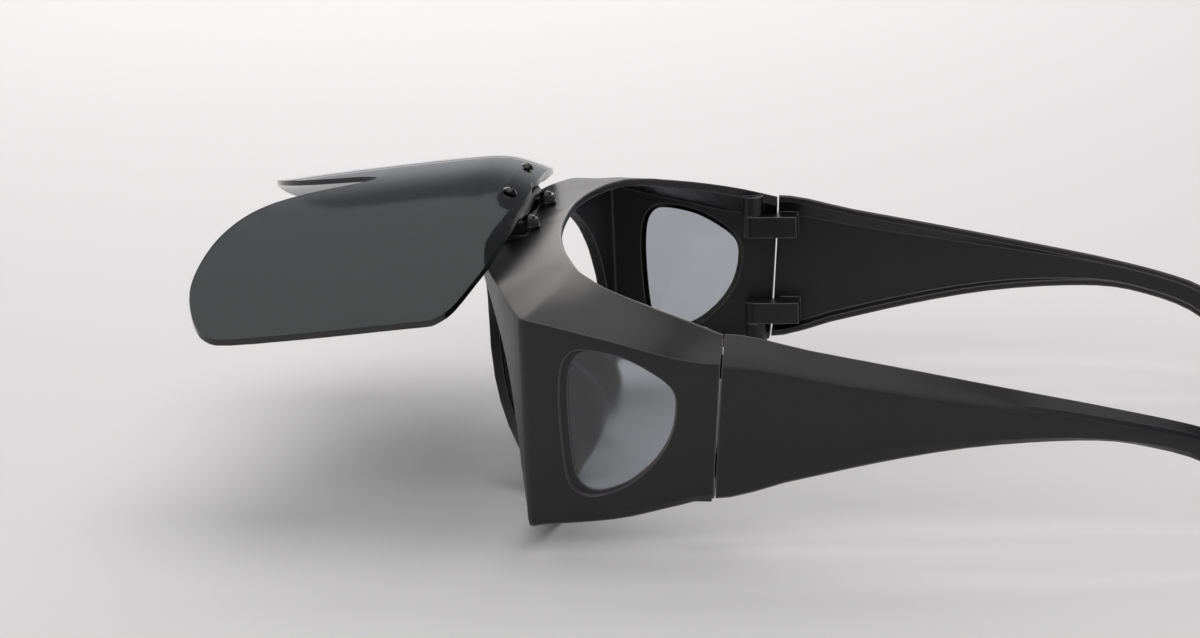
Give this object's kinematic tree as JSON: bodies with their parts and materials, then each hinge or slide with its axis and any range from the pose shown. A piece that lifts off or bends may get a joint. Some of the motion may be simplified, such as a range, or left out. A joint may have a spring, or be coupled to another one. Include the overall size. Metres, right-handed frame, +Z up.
{
  "type": "flip up sunglasses",
  "caption": "Fit-over sunglasses with a matte black wrap frame, clear side windows, open front and a smoke lens raised on a small brow hinge.",
  "frame": {"origin": "on the rest plane under the centre of the whole object's box, lens raised and temples open", "axes": "+X the wearer's left, +Y towards the temple tips, +Z up; the front of the glasses faces -Y"},
  "size_m": [0.1416, 0.2468, 0.0737],
  "materials": {
    "frame_black": "injection moulded nylon with a fine matte texture and a soft sheen",
    "lens_smoke": "transparent smoke grey polycarbonate, polished, moulded edge",
    "side_clear": "transparent light grey polycarbonate, polished",
    "hinge_black": "black moulded nylon, glossy",
    "screw_black": "black oxide steel, domed and polished",
    "steel": "turned stainless steel"
  },
  "bodies": {
    "frame": {"front_frame": "frame_black", "side_window_left": "side_clear", "side_window_right": "side_clear", "flip_base": "hinge_black", "base_screw_left": "screw_black", "base_screw_right": "screw_black", "base_nut_left": "steel", "base_nut_right": "steel", "flip_axle": "steel", "hinge_pin_upper_left": "steel", "hinge_pin_lower_left": "steel", "hinge_pin_upper_right": "steel", "hinge_pin_lower_right": "steel"},
    "flip": {"lens_bracket": "hinge_black", "flip_lens": "lens_smoke", "lens_screw_left": "screw_black", "lens_screw_right": "screw_black", "lens_nut_left": "steel", "lens_nut_right": "steel"},
    "temple_left_body": {"temple_left": "frame_black"},
    "temple_right_body": {"temple_right": "frame_black"}
  },
  "joints": [
    {"name": "flip_hinge", "type": "hinge", "parent": "frame", "child": "flip", "pos_m": [0, -0.05283, 0.0638], "axis": [-1, 0, 0], "range_deg": [-84.5, 21]},
    {"name": "left_temple_hinge", "type": "hinge", "parent": "frame", "child": "temple_left_body", "pos_m": [0.065, -0.00283, 0.03], "axis": [0, 0, 1], "range_deg": [0, 96]},
    {"name": "right_temple_hinge", "type": "hinge", "parent": "frame", "child": "temple_right_body", "pos_m": [-0.065, -0.00283, 0.03], "axis": [0, 0, -1], "range_deg": [0, 78]}
  ]
}
